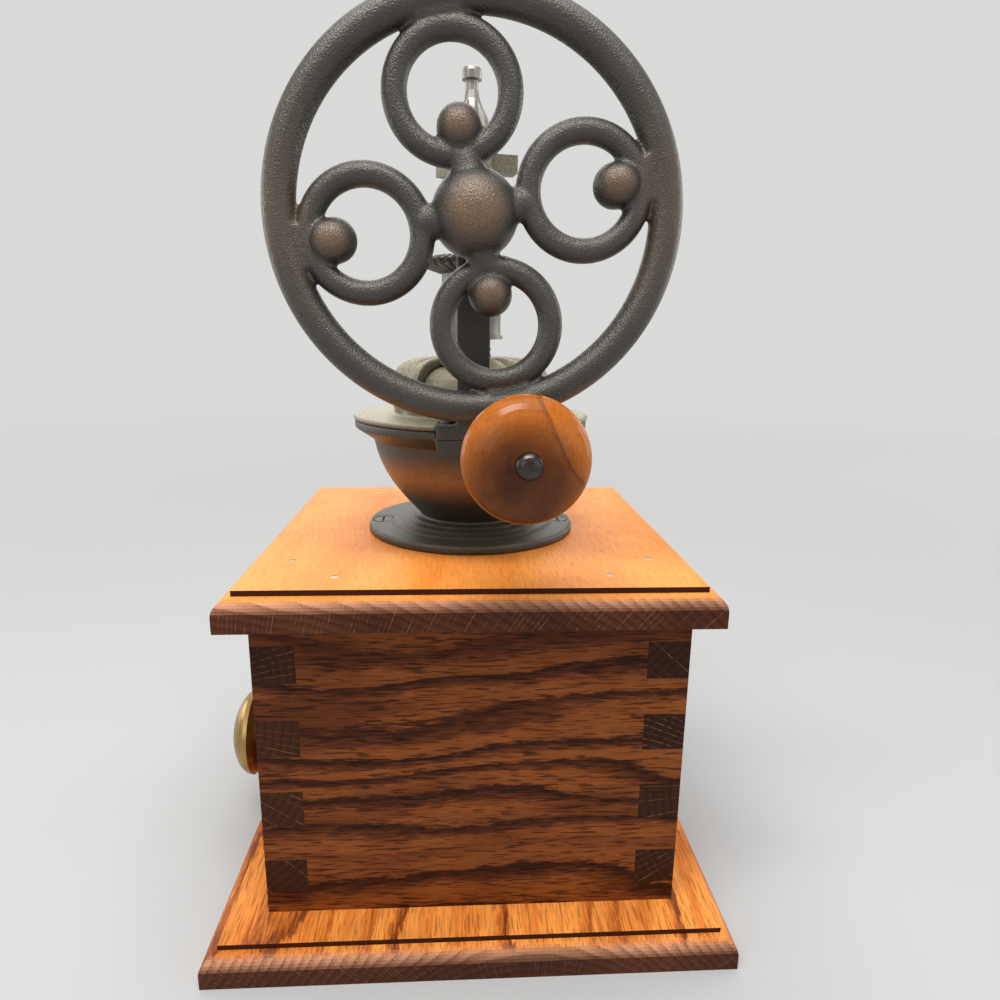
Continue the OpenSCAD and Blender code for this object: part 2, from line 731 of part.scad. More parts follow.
crown_cone = atan(crown_pitch_r / pinion_pitch_r);
crown_heel_z = -pinion_pitch_r;
gear_z = shaft_z - lift;
gear_top_z = gear_z - pinion_pitch_r;
hub_foot_z = gear_top_z - 29.5;
gear_pin_turn = 45;
pin_r = 1.2;
gear_pin_z = gear_top_z - 6;
cup_r = spring_r + spring_wire_r + 1;
cup_roof = 5;
cup_top_z = gear_pin_z - cup_roof;
gear_web = 8;
gear_dish = 0.5;
hub_end_z = gear_top_z + gear_dish;

// The toothed ring, bored to sit on the long hub
module crown_gear() {
    color(iron)
        difference() {
            translate([0, 0, gear_z]) rotate([0, 0, 180 / crown_teeth])
                bevel_teeth(crown_teeth, crown_cone, crown_add, pinion_add + tooth_foot,
                            crown_heel_z - gear_web, crown_heel_z + gear_dish);
            translate([0, 0, hub_foot_z]) cylinder(r = hub_tube_r + fit, h = shaft_z - hub_foot_z);
        }
}
// The long hub, open below for the spring
module gear_hub() {
    color(iron)
        difference() {
            union() {
                translate([0, 0, hub_foot_z]) cylinder(r = hub_tube_r, h = hub_end_z - hub_foot_z);
                translate([0, 0, hub_foot_z]) cylinder(r = hub_tube_r + 0.9, h = 1.6);
            }
            translate([0, 0, hub_foot_z - cut]) {
                cylinder(r = spindle_r + fit, h = hub_end_z - hub_foot_z + 2 * cut);
                cylinder(r = cup_r, h = cup_top_z - hub_foot_z + cut);
            }
            translate([0, 0, gear_pin_z]) rotate([90, 0, gear_pin_turn])
                cylinder(r = pin_r + fit, h = 4 * hub_tube_r, center = true);
        }
}
module crown_gear_pin() {
    color(steel) translate([0, 0, gear_pin_z]) rotate([90, 0, gear_pin_turn])
        cylinder(r = pin_r, h = 2 * hub_tube_r - 1, center = true);
}

// Spring between the cover and the gear's cup: nearly closed turns at its ends, open between
spring_low = brim_z + dome_h + spring_wire_r + 0.1;
spring_high = cup_top_z - spring_wire_r - 0.1;
spring_end_pitch = 2 * spring_wire_r + 0.55;
rings_a_turn = 8;
spring_rings = rings_a_turn * spring_turns;
function spring_height(t) =
    let (n = spring_turns, open = spring_high - spring_low - 2 * spring_end_pitch)
        t < 1 ? spring_low + spring_end_pitch * t
        : t > n - 1 ? spring_high - spring_end_pitch * (n - t)
        : spring_low + spring_end_pitch + open * (t - 1) / (n - 2);
coil_line = [for (i = [0:spring_rings]) let (a = 360 * i / rings_a_turn)
    [spring_r * cos(a), spring_r * sin(a), spring_height(i / rings_a_turn)]];
spring_gap = min([for (i = [0:spring_rings], j = [i + rings_a_turn - 2:spring_rings])
    norm(coil_line[i] - coil_line[j])]) - 2 * spring_wire_r;
echo("Least gap of the spring to itself, in mm", spring_gap);

module spindle_spring() {
    sides = 6;
    points = [for (i = [0:spring_rings], j = [0:sides - 1])
        let (a = 360 * i / rings_a_turn, b = 360 * j / sides, out = spring_wire_r * cos(b))
            coil_line[i] + [out * cos(a), out * sin(a), spring_wire_r * sin(b)]];
    skin = [for (i = [0:spring_rings - 1], j = [0:sides - 1])
        let (p = i * sides + j, q = i * sides + (j + 1) % sides)
            each [[p, q, p + sides], [q, q + sides, p + sides]]];
    last = spring_rings * sides;
    low_end = [for (j = [1:sides - 2]) [0, j + 1, j]];
    high_end = [for (j = [1:sides - 2]) [last, last + j, last + j + 1]];
    color(steel) polyhedron(points, concat(skin, low_end, high_end));
}

// Cover: a brim, and a lobed dome with a window that a sliding door closes

window_from = -41;
window_to = 9;
window_in_r = 19;
collar_r = spindle_r + 3;
collar_h = 7;
dome_steps = 9;
seat_r = 12;

// Dome with lobes that fade out towards its foot and its middle
module lobed_dome() {
    line = dome_line(dome_r, dome_h, dome_steps);
    around = 6 * lobe_count;
    rise = [for (i = [0:dome_steps - 1]) lobe_rise / dome_r * sin(180 * i / dome_steps)];
    shell = [for (i = [0:dome_steps - 1], j = [0:around - 1])
        let (a = 360 * j / around, k = 1 + rise[i] * abs(cos(lobe_count * a / 2)))
            [k * line[i][0] * cos(a), k * line[i][0] * sin(a), k * line[i][1]]];
    foot = [for (j = [0:around - 1]) let (a = 360 * j / around) [dome_r * cos(a), dome_r * sin(a), -brim_t / 2]];
    n = (dome_steps + 1) * around;
    skin = [for (i = [0:dome_steps - 1], j = [0:around - 1])
        let (p = i * around + j, q = i * around + (j + 1) % around)
            each [[p, p + around, q], [q, p + around, q + around]]];
    bottom = [for (j = [0:around - 1]) [j, (j + 1) % around, n]];
    top = [for (j = [0:around - 1]) [n - around + (j + 1) % around, n - around + j, n + 1]];
    translate([0, 0, brim_z])
        polyhedron(concat(foot, shell, [[0, 0, -brim_t / 2], [0, 0, dome_h]]), concat(skin, bottom, top));
}

// A slice of a turned solid between two angles
module sector(from, to, points) { rotate([0, 0, from]) rotate_extrude(angle = to - from) polygon(points); }

module hopper_cover() {
    r = brim_t / 2;
    spigot_r = mouth_r - slip;
    color(iron)
        difference() {
            union() {
                difference() {
                    union() {
                        // Brim with a rounded edge, and a spigot inside the bowl's mouth
                        turned(concat(
                            [[0, rim_z]],
                            [for (i = [0:6]) let (a = -90 + 30 * i)
                                [brim_r - r + r * cos(a), rim_z + r + r * sin(a)]],
                            [[0, brim_z]]
                        ));
                        tube(spigot_r, spigot_r - 2.4, rim_z - 3, rim_z + r);
                        lobed_dome();
                        sector(window_from - 2, window_to + 2, [[dome_r - 1, brim_z + sill_h - 1.5],
                            [dome_r + 1.6, brim_z + sill_h - 1.5], [dome_r + 1.6, brim_z + sill_h], [dome_r - 1, brim_z + sill_h]]);
                    }
                    translate([0, 0, brim_z])
                        turned(concat([[0, -brim_t - 4], [dome_r - dome_t, -brim_t - 4]],
                                      dome_line(dome_r - dome_t, dome_h - dome_t, 8)));
                    sector(window_from, window_to, [[window_in_r, brim_z + sill_h], [dome_r + 9, brim_z + sill_h],
                        [dome_r + 9, brim_z + dome_h + 9], [window_in_r, brim_z + dome_h + 9]]);
                }
                // Raised seat for the spring, and the collar that the door turns on
                translate([0, 0, brim_z + dome_h - dome_t - collar_h]) cylinder(r = collar_r, h = collar_h + dome_t);
                tube(seat_r, collar_r - cut, brim_z + dome_h - dome_t, brim_z + dome_h);
            }
            translate([0, 0, rim_z]) cylinder(r = spindle_r + 0.5, h = 3 * dome_h);
            foot_room(rim_z - 6, brim_z + cut);
        }
}

door_r = dome_r - dome_t - door_gap;
door_h = dome_h - dome_t - door_gap;
door_low = sill_h - 7;
door_from = window_from - 6;
door_to = window_to + 6;
knob_turn = window_to - 7;
knob_on_door_z = 0.74 * door_h;
knob_on_door_r = door_r * pow(1 - pow(knob_on_door_z / door_h, dome_power), 1 / dome_power);
knob_lean = atan(pow(knob_on_door_z, dome_power - 1) / pow(door_h, dome_power)
    * pow(door_r, dome_power) / pow(knob_on_door_r, dome_power - 1));
door_stem_r = 1.6;

// The knob's own axis, square to the door's face, with the face at height 0
module on_door() {
    rotate([0, 0, knob_turn]) translate([knob_on_door_r, 0, brim_z + knob_on_door_z])
        rotate([0, 90 - knob_lean, 0]) children();
}

module cover_door() {
    outer = dome_line(door_r, door_h, 8);
    inner = dome_line(door_r - door_t, door_h - door_t, 8);
    color(bronze)
        difference() {
            union() {
                translate([0, 0, brim_z]) difference() {
                    sector(door_from, door_to, concat([[0, door_low], [door_r, door_low]], [for (i = [2:8]) outer[i]]));
                    turned(concat([[0, -cut], [door_r - door_t, -cut]], inner));
                }
                tube(seat_r, collar_r, brim_z + door_h - door_t, brim_z + door_h);
            }
            translate([0, 0, brim_z]) cylinder(r = collar_r + slip, h = dome_h);
            on_door() cylinder(r = door_stem_r + fit, h = 12, center = true);
        }
}
module door_knob() {
    neck = dome_t + door_gap + lobe_rise;
    inside = -1.2 * door_t - 1;
    color(bronze) on_door()
        turned([[0, inside - 1], [2.4, inside - 1], [2.4, inside], [door_stem_r, inside], [door_stem_r, neck],
                [2.4, neck + 0.4], [3, neck + 1.5], [2.6, neck + 2.8], [1.4, neck + 3.5], [0, neck + 3.7]]);
}
module door_retainer() {
    color(steel) tube(collar_r + 2.6, collar_r + fit, brim_z + door_h - door_t - slip - 1.2, brim_z + door_h - door_t - slip);
}

// Yoke: an arch on two feet, with the shaft's bearing tube and the crown over the spindle

arch_foot_z = shelf_z + foot_t;
spring_line = mill_z + 99.4;
function arch_line(half, top) =
    [for (i = [0:24]) let (a = 180 * i / 24) [half * cos(a), spring_line + (top - spring_line) * sin(a)]];
tube_from = crown_pitch_r + 9.6;
tube_to = wheel_x - 11.6;
bush_r = shaft_r + 1.6;
bush_l = 9;

module yoke() {
    outer = arch_line(yoke_x, crown_z - 1);
    inner = arch_line(yoke_x - arch_t, crown_z - 1 - arch_t);
    color(iron)
        difference() {
            union() {
                // The arch, from foot to foot
                translate([0, arch_w / 2, 0]) rotate([90, 0, 0]) linear_extrude(arch_w)
                    difference() {
                        polygon(concat(outer, [[-yoke_x, shelf_z + cut], [yoke_x, shelf_z + cut]]));
                        polygon(concat(inner, [[arch_t - yoke_x, shelf_z - cut], [yoke_x - arch_t, shelf_z - cut]]));
                    }
                for (s = [-1, 1]) block([s > 0 ? foot_x : -yoke_x, -foot_w / 2, shelf_z],
                                        [s > 0 ? yoke_x : -foot_x, foot_w / 2, arch_foot_z]);
                translate([tube_from, 0, shaft_z]) along_x() cylinder(r = tube_r, h = tube_to - tube_from);
                translate([0, 0, crown_bottom]) cylinder(r = crown_r, h = crown_z - crown_bottom);
            }
            translate([0, 0, crown_bottom - cut]) cylinder(r = crown_bore_r, h = 40);
            translate([0, 0, crown_bottom - cut]) cylinder(r = spindle_r + 1.6, h = crown_bush_l + cut);
            translate([tube_from - cut, 0, shaft_z]) along_x() {
                cylinder(r = shaft_r + 0.6, h = tube_to);
                cylinder(r = bush_r, h = bush_l + cut);
            }
            translate([tube_to - bush_l, 0, shaft_z]) along_x() cylinder(r = bush_r, h = bush_l + cut);
            for (s = [-1, 1], e = [-1, 1]) translate([s * yoke_screw_x, e * yoke_screw_y, shelf_z - cut])
                cylinder(r = small_screw_r + 0.1, h = foot_t + 2 * cut);
        }
}
module yoke_screws() {
    color(steel)
        for (s = [-1, 1], e = [-1, 1]) translate([s * yoke_screw_x, e * yoke_screw_y, arch_foot_z])
            difference() {
                union() {
                    cylinder(r = small_screw_head_r, h = small_screw_head_h);
                    translate([0, 0, 0.4 - foot_t - yoke_screw_bite])
                        cylinder(r = small_screw_r, h = foot_t + yoke_screw_bite);
                }
                block([-small_screw_head_r, -slot_w / 2, 1], [small_screw_head_r, slot_w / 2, small_screw_head_h + cut]);
            }
}

module crown_bush() {
    color(bronze) tube(spindle_r + 1.6 - fit, spindle_r + run_gap, crown_bottom, crown_bottom + crown_bush_l);
}
module thrust_ball() { color(steel) translate([0, 0, ball_z]) sphere(ball_seat_r); }

star_z = crown_z + slip;
finial_z = star_z + star_h + slip;
finial_top = finial_z + finial_h;

// Adjusting screw with a fluted bell, a slim neck and a flat cap
module adjusting_screw() {
    color(iron)
        difference() {
            turned([[0, screw_tip], [screw_r - 0.8, screw_tip], [screw_r, screw_tip + 0.8], [screw_r, finial_z],
                    [9.3, finial_z], [9.6, finial_z + 1.2], [9.2, finial_z + 4], [8.0, finial_z + 8],
                    [6.2, finial_z + 12.2], [4.3, finial_z + 15.8], [3.1, finial_z + 18.6], [2.6, finial_z + 21.5],
                    [2.5, finial_top - 5.6], [3.8, finial_top - 5.2], [3.9, finial_top - 2.4],
                    [3.4, finial_top - 1.2], [2, finial_top - 0.3], [0, finial_top]]);
            for (i = [0:5]) rotate([0, 0, 60 * i + 30]) translate([9.9, 0, finial_z - 2])
                rotate([0, -12, 0]) cylinder(r = 2.3, h = 24);
        }
}

// Star nut with three square lugs, which locks the adjusting screw
star_turn = -20;
module star_nut() {
    lug_w = 8;
    color(iron)
        difference() {
            union() {
                translate([0, 0, star_z]) cylinder(r = 9, h = star_h);
                for (i = [0:2]) rotate([0, 0, 120 * i + star_turn])
                    block([0, -lug_w / 2, star_z + 1], [star_r, lug_w / 2, star_z + star_h - 0.6]);
            }
            translate([0, 0, star_z - cut]) cylinder(r = screw_r + 0.1, h = star_h + 2 * cut);
        }
}

module outer_bush() {
    color(bronze) along_x() translate([0, shaft_z, 0]) tube(bush_r - fit, shaft_r + run_gap, tube_to - bush_l, tube_to);
}
module inner_bush() {
    color(bronze) along_x() translate([0, shaft_z, 0]) tube(bush_r - fit, shaft_r + run_gap, tube_from, tube_from + bush_l);
}

// Pinion and drive shaft

pinion_cone = atan(pinion_pitch_r / crown_pitch_r);
pinion_back = crown_pitch_r + 7.6;
pinion_hub_r = shaft_r + 2.6;
pinion_front = crown_pitch_r - tooth_l * cos(pinion_cone) - 0.4;
pinion_pin_x = crown_pitch_r + 4.6;
hub_back_x = wheel_x - 10;
shaft_end_x = wheel_x + 4;
wheel_screw_x = hub_back_x + 3;
shaft_washer_r = shaft_r + 4;

// The pinion's cone points at the spindle, so its back is on the wheel side
module pinion() {
    color(iron)
        difference() {
            union() {
                translate([0, 0, shaft_z]) rotate([0, -90, 0])
                    bevel_teeth(pinion_teeth, pinion_cone, pinion_add, crown_add + tooth_foot,
                                -crown_pitch_r - 0.6, -pinion_front);
                translate([crown_pitch_r - 1, 0, shaft_z]) along_x() cylinder(r = pinion_hub_r, h = pinion_back - crown_pitch_r + 1);
            }
            translate([0, 0, shaft_z]) along_x() cylinder(r = shaft_r + fit, h = 2 * crown_pitch_r);
            translate([pinion_pin_x, 0, shaft_z]) cylinder(r = pin_r + fit, h = 4 * pinion_hub_r, center = true);
        }
}
module pinion_pin() {
    color(steel) translate([pinion_pin_x, 0, shaft_z]) cylinder(r = pin_r, h = 2 * pinion_hub_r - 0.6, center = true);
}
module drive_shaft() {
    color(steel)
        difference() {
            along_x() translate([0, shaft_z, 0])
                turned([[0, pinion_front], [shaft_r - 0.5, pinion_front], [shaft_r, pinion_front + 0.5],
                        [shaft_r, shaft_end_x - 0.5], [shaft_r - 0.5, shaft_end_x], [0, shaft_end_x]]);
            translate([pinion_pin_x, 0, shaft_z]) cylinder(r = pin_r + fit, h = 4 * pinion_hub_r, center = true);
        }
}
module shaft_washer() {
    color(steel) along_x() translate([0, shaft_z, 0]) tube(shaft_washer_r, shaft_r + fit, tube_to + slip, hub_back_x);
}

// Flywheel: a round rim, four rings with bosses, and a domed hub

crank_turn = ring_turn - 90;
crank_y = crank_r * cos(crank_turn);
crank_z = shaft_z + crank_r * sin(crank_turn);
ear_t = 10;
neck_hub_r = 6.2;
neck_ring_r = 4.3;
weld_l = 13;

module flywheel() {
    color(iron) translate([wheel_x, 0, shaft_z]) along_x()
        difference() {
            union() {
                rotate_extrude() translate([wheel_r, 0]) circle(rim_tube_r);
                for (i = [0:3]) rotate([0, 0, ring_turn + 90 * i]) {
                    translate([ring_offset, 0, 0]) rotate_extrude() translate([ring_r, 0]) circle(ring_tube_r);
                    // Boss: on the rim side of the level rings and the hub side of the upright ones
                    translate([ring_offset + (i % 2 == 0 ? 1 : -1) * (ring_r - ball_inset), 0, 0]) sphere(ball_r);
                    // Neck to the hub, and the metal that fills the groove between ring and rim
                    translate([hub_r - 5, 0, 0]) rotate([0, 90, 0])
                        cylinder(r1 = neck_hub_r, r2 = neck_ring_r, h = ring_offset - ring_r - hub_r + 5.5);
                    translate([(ring_offset + ring_r + wheel_r) / 2, 0, 0]) rotate([90, 0, 0])
                        cylinder(r = ring_tube_r, h = weld_l, center = true);
                }
                turned(concat(
                    [[0, -10], [8.6, -10], [9.2, -9.4], [9.2, -5.4], [hub_r - 0.8, -4.6], [hub_r, -3.4]],
                    [for (i = [0:8]) let (a = 90 * i / 8) [hub_r * cos(a), hub_dome * sin(a)]]
                ));
                // Ear for the crank stud, outside the rim
                rotate([0, 0, crank_turn]) {
                    translate([crank_r, 0, -ear_t / 2]) cylinder(r = ear_r, h = ear_t);
                    translate([wheel_r, 0, 1 - ear_t / 2]) linear_extrude(ear_t - 2)
                        polygon([[0, -12], [crank_r - wheel_r, -ear_r + 0.5], [crank_r - wheel_r, ear_r - 0.5], [0, 12]]);
                }
            }
            translate([0, 0, -10 - cut]) cylinder(r = shaft_r + fit, h = 14.2 + cut);
            translate([0, 0, wheel_screw_x - wheel_x]) rotate([-90, 0, 0]) cylinder(r = 1.6 + fit, h = 12);
            rotate([0, 0, crank_turn]) translate([crank_r, 0, -ear_t]) cylinder(r = stud_r + fit, h = 2 * ear_t);
        }
}
module wheel_set_screw() {
    color(steel) translate([wheel_screw_x, 0, shaft_z])
        difference() {
            translate([0, 0, shaft_r + 0.1]) cylinder(r = 1.6, h = 4.8);
            block([-0.3, -2, shaft_r + 4], [0.3, 2, shaft_r + 8]);
        }
}

// Crank stud, washer and wooden knob

ear_front = wheel_x + ear_t / 2;
washer_t = 1.2;
knob_back = ear_front + washer_t + slip;
knob_front = knob_back + knob_l;

module on_crank() { translate([0, crank_y, crank_z]) along_x() children(); }

module crank_stud() {
    head = 3.4;
    color(steel) on_crank()
        turned(concat(
            [[0, ear_front - ear_t + 0.5], [stud_r - 0.4, ear_front - ear_t + 0.5], [stud_r, ear_front - ear_t + 1],
             [stud_r, knob_front + slip], [stud_head_r, knob_front + slip], [stud_head_r, knob_front + slip + 0.8]],
            [for (i = [1:6]) let (a = 90 * i / 6)
                [stud_head_r * cos(a), knob_front + slip + 0.8 + (head - 0.8) * sin(a)]]
        ));
}
module knob_washer() { color(steel) on_crank() tube(6.6, stud_r + fit, ear_front, ear_front + washer_t); }
module crank_knob() {
    widest = knob_l - 9;
    color(knob_wood) on_crank() translate([0, 0, knob_back])
        difference() {
            turned(concat(
                [[0, 0], [0.42 * knob_r, 0], [0.45 * knob_r, 0.8], [0.44 * knob_r, 2.5], [0.41 * knob_r, 5],
                 [0.46 * knob_r, 8.5], [0.60 * knob_r, 12], [0.79 * knob_r, 15.5], [0.93 * knob_r, widest - 3.2]],
                [for (i = [0:9]) let (a = 80 * i / 9) [knob_r * cos(a), widest + 9 * sin(a) / sin(80)]],
                [[0, knob_l]]
            ));
            translate([0, 0, -cut]) cylinder(r = stud_r + 0.1, h = knob_l + 2 * cut);
        }
}

base_board();
wheel_side_panel();
far_side_panel();
front_panel();
rear_panel();
top_board();
top_brads();
base_screws();
drawer_guides();
drawer_front();
drawer_left_side();
drawer_right_side();
drawer_back();
drawer_bottom();
drawer_knob();
drawer_knob_screw();
hopper_bowl();
flange_screws();
burr_ring();
burr_cone();
lower_bridge();
bridge_screws();
lower_bush();
spindle();
crown_gear();
gear_hub();
crown_gear_pin();
spindle_spring();
hopper_cover();
cover_door();
door_knob();
door_retainer();
yoke();
yoke_screws();
crown_bush();
thrust_ball();
adjusting_screw();
star_nut();
outer_bush();
inner_bush();
drive_shaft();
pinion();
pinion_pin();
shaft_washer();
flywheel();
wheel_set_screw();
crank_stud();
knob_washer();
crank_knob();
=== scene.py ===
"""Looks of the side-wheel coffee mill: oak, cast iron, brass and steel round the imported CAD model.

Everything is in metres in the row frame: +Z up, the flywheel on +X, the drawer on -Y.
"""
import json
import math

import bmesh
import bpy
from mathutils import Matrix, Quaternion, Vector


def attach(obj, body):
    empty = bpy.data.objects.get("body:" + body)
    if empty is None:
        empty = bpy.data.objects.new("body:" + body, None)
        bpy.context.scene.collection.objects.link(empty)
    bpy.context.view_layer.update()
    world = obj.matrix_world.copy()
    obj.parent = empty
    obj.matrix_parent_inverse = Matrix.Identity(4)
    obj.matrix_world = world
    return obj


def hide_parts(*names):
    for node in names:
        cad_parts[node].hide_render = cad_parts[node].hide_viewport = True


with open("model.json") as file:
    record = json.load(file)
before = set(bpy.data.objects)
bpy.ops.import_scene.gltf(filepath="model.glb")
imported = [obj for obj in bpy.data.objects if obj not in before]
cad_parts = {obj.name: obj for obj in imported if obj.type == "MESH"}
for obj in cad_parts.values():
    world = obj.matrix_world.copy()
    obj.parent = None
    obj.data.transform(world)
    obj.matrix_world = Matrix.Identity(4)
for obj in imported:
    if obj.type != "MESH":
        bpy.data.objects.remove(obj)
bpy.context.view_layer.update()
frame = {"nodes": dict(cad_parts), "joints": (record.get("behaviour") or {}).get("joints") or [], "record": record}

MM = 0.001
X, Y, Z = 0, 1, 2
NODES = frame["nodes"]
BODY_OF = {node: body for body, nodes in frame["record"]["behaviour"]["bodies"].items() for node in nodes}
JOINT_AT = {j["name"]: Vector(j["pos_m"]) for j in frame["joints"] if j.get("pos_m")}

# The camera that a fit to the boards' straight edges gave
CAMERA_PLACE = Vector((0.30116, -0.00476, 0.2231))
CAMERA_FORWARD = Vector((-0.9717, 0.0563, -0.2292))
CAMERA_ROLL = -0.0121
CAMERA_LENS = 25.55
CAMERA_SENSOR = 36
CAMERA_NEAREST = 0.005


def srgb(red, green, blue):
    """A linear colour from the usual 0 to 255 values."""
    def linear(value):
        c = value / 255
        return c / 12.92 if c <= 0.04045 else ((c + 0.055) / 1.055) ** 2.4
    return (linear(red), linear(green), linear(blue), 1)


def darker(colour, share):
    """The colour at a share of its brightness."""
    return tuple(c * share for c in colour[:3]) + (1,)


# Node graphs

class Graph:
    """One material's nodes, with a short call for each kind that this scene uses."""

    def __init__(self, name):
        self.material = bpy.data.materials.new(name)
        self.material.use_nodes = True
        self.tree = self.material.node_tree
        self.tree.nodes.clear()
        self.output = self.tree.nodes.new("ShaderNodeOutputMaterial")
        self.shader = self.tree.nodes.new("ShaderNodeBsdfPrincipled")
        self.tree.links.new(self.shader.outputs[0], self.output.inputs["Surface"])

    def put(self, socket, value):
        """Sets a socket to a number or colour, or links it to an output."""
        if isinstance(value, bpy.types.NodeSocket):
            self.tree.links.new(value, socket)
        else:
            socket.default_value = value

    def set(self, **values):
        """Sets the shader's sockets, named with underscores for spaces."""
        for name, value in values.items():
            self.put(self.shader.inputs[name.replace("_", " ")], value)

    def math(self, operation, a, b=None):
        node = self.tree.nodes.new("ShaderNodeMath")
        node.operation = operation
        self.put(node.inputs[0], a)
        if b is not None:
            self.put(node.inputs[1], b)
        return node.outputs[0]

    def add(self, *values):
        total = values[0]
        for value in values[1:]:
            total = self.math("ADD", total, value)
        return total

    def times(self, *values):
        total = values[0]
        for value in values[1:]:
            total = self.math("MULTIPLY", total, value)
        return total

    def minus(self, a, b):
        return self.math("SUBTRACT", a, b)

    def place(self):
        """The point on the object, in metres, as x, y and z."""
        return self.split(self.tree.nodes.new("ShaderNodeTexCoord").outputs["Object"])

    def facing(self):
        """The way the surface faces, as x, y and z."""
        return self.split(self.tree.nodes.new("ShaderNodeNewGeometry").outputs["Normal"])

    def split(self, vector):
        node = self.tree.nodes.new("ShaderNodeSeparateXYZ")
        self.put(node.inputs[0], vector)
        return list(node.outputs)

    def join(self, x, y, z):
        node = self.tree.nodes.new("ShaderNodeCombineXYZ")
        for socket, value in zip(node.inputs, (x, y, z)):
            self.put(socket, value)
        return node.outputs[0]

    def length(self, vector):
        node = self.tree.nodes.new("ShaderNodeVectorMath")
        node.operation = "LENGTH"
        self.put(node.inputs[0], vector)
        return node.outputs["Value"]

    def noise(self, point, scales, detail=3, roughness=0.55):
        """Noise with one scale, or one for each axis, in features per metre."""
        if not isinstance(scales, tuple):
            scales = (scales, scales, scales)
        node = self.tree.nodes.new("ShaderNodeTexNoise")
        self.put(node.inputs["Vector"], self.join(*(self.times(p, s) for p, s in zip(point, scales))))
        node.inputs["Scale"].default_value = 1
        node.inputs["Detail"].default_value = detail
        node.inputs["Roughness"].default_value = roughness
        return node.outputs["Fac"]

    def random(self, value):
        node = self.tree.nodes.new("ShaderNodeTexWhiteNoise")
        node.noise_dimensions = "1D"
        self.put(node.inputs["W"], value)
        return node.outputs["Value"]

    def ramp(self, factor, *stops):
        """A colour ramp through (position, colour) stops. A single number stands for a grey."""
        node = self.tree.nodes.new("ShaderNodeValToRGB")
        self.put(node.inputs[0], factor)
        elements = node.color_ramp.elements
        while len(elements) < len(stops):
            elements.new(0.5)
        for element, (position, colour) in zip(elements, stops):
            element.position = position
            element.color = colour if isinstance(colour, tuple) else (colour, colour, colour, 1)
        return node.outputs[0]

    def mix(self, factor, a, b, blend="MIX"):
        node = self.tree.nodes.new("ShaderNodeMix")
        node.data_type = "RGBA"
        node.blend_type = blend
        self.put(node.inputs[0], factor)
        self.put(node.inputs[6], a)
        self.put(node.inputs[7], b)
        return node.outputs[2]

    def shade(self, colour, by):
        """The colour multiplied by another."""
        return self.mix(1.0, colour, by, "MULTIPLY")

    def bump(self, height, strength, distance):
        node = self.tree.nodes.new("ShaderNodeBump")
        node.inputs["Strength"].default_value = strength
        node.inputs["Distance"].default_value = distance
        self.put(node.inputs["Height"], height)
        return node.outputs[0]

    def attribute(self, name):
        node = self.tree.nodes.new("ShaderNodeAttribute")
        node.attribute_name = name
        return node.outputs["Fac"]


def paint(node, material):
    """Gives a CAD node or a piece one material."""
    piece = NODES[node] if isinstance(node, str) else node
    piece.data.materials.clear()
    piece.data.materials.append(material)


# Wood

# How far a board's dark bands wander across it, and how much they lean through its thickness
BAND_SWING = 36 * MM
BAND_LEAN = 0.5
RING_SPACING = 2.9 * MM
# Painted shade: the dark colour in the boards' shadow grooves, and the tint that darkens their upright sides as if
# in shade
GROOVE_SHADE = srgb(58, 25, 13)
SIDE_SHADE = (0.46, 0.34, 0.26, 1)


def end_grain(g, point, off, small, up, end, rays_apart):
    """The cut end of a board: rings round the pith, open pores, and pale broken rays.

    off is the place on the end, from the pith. up says how far the surface faces up; the ground is painted paler
    as it faces up, as painted light from above.
    """
    turn = g.add(g.times(g.math("ARCTAN2", *off), rays_apart), g.times(small, 0.5))
    rays = g.ramp(g.math("FRACT", turn), (0.0, 1.0), (0.09, 0.0), (0.91, 0.0), (1.0, 1.0))
    chance = g.ramp(g.random(g.math("FLOOR", g.add(turn, 0.5))), (0.1, 0.0), (0.8, 1.0))
    broken = g.ramp(g.noise(point, 420, 2), (0.42, 0.1), (0.60, 1.0))
    rays = g.times(rays, chance, broken)
    out = g.length(g.join(*off, 0.0))
    rings = g.math("FRACT", g.add(g.times(out, 1 / RING_SPACING), g.times(small, 1.2)))
    holes = g.ramp(g.noise(point, 1900, 1), (0.52, 0.0), (0.60, 1.0))
    holes = g.times(holes, g.ramp(rings, (0.35, 0.25), (0.8, 1.0)))
    # Painted light: the ground is paler where the end faces up
    ground = g.mix(g.ramp(up, (0.1, 0.0), (0.8, 1.0)), end[0], end[1])
    ground = g.shade(ground, g.ramp(g.noise(point, 24, 1), (0.35, 0.62), (0.65, 1.15)))
    ground = g.shade(ground, g.ramp(rings, (0.3, 1.12), (0.9, 0.72)))
    cut = g.mix(g.times(holes, 0.5), ground, darker(end[0], 0.4))
    return g.mix(g.times(rays, 0.75), cut, end[2])


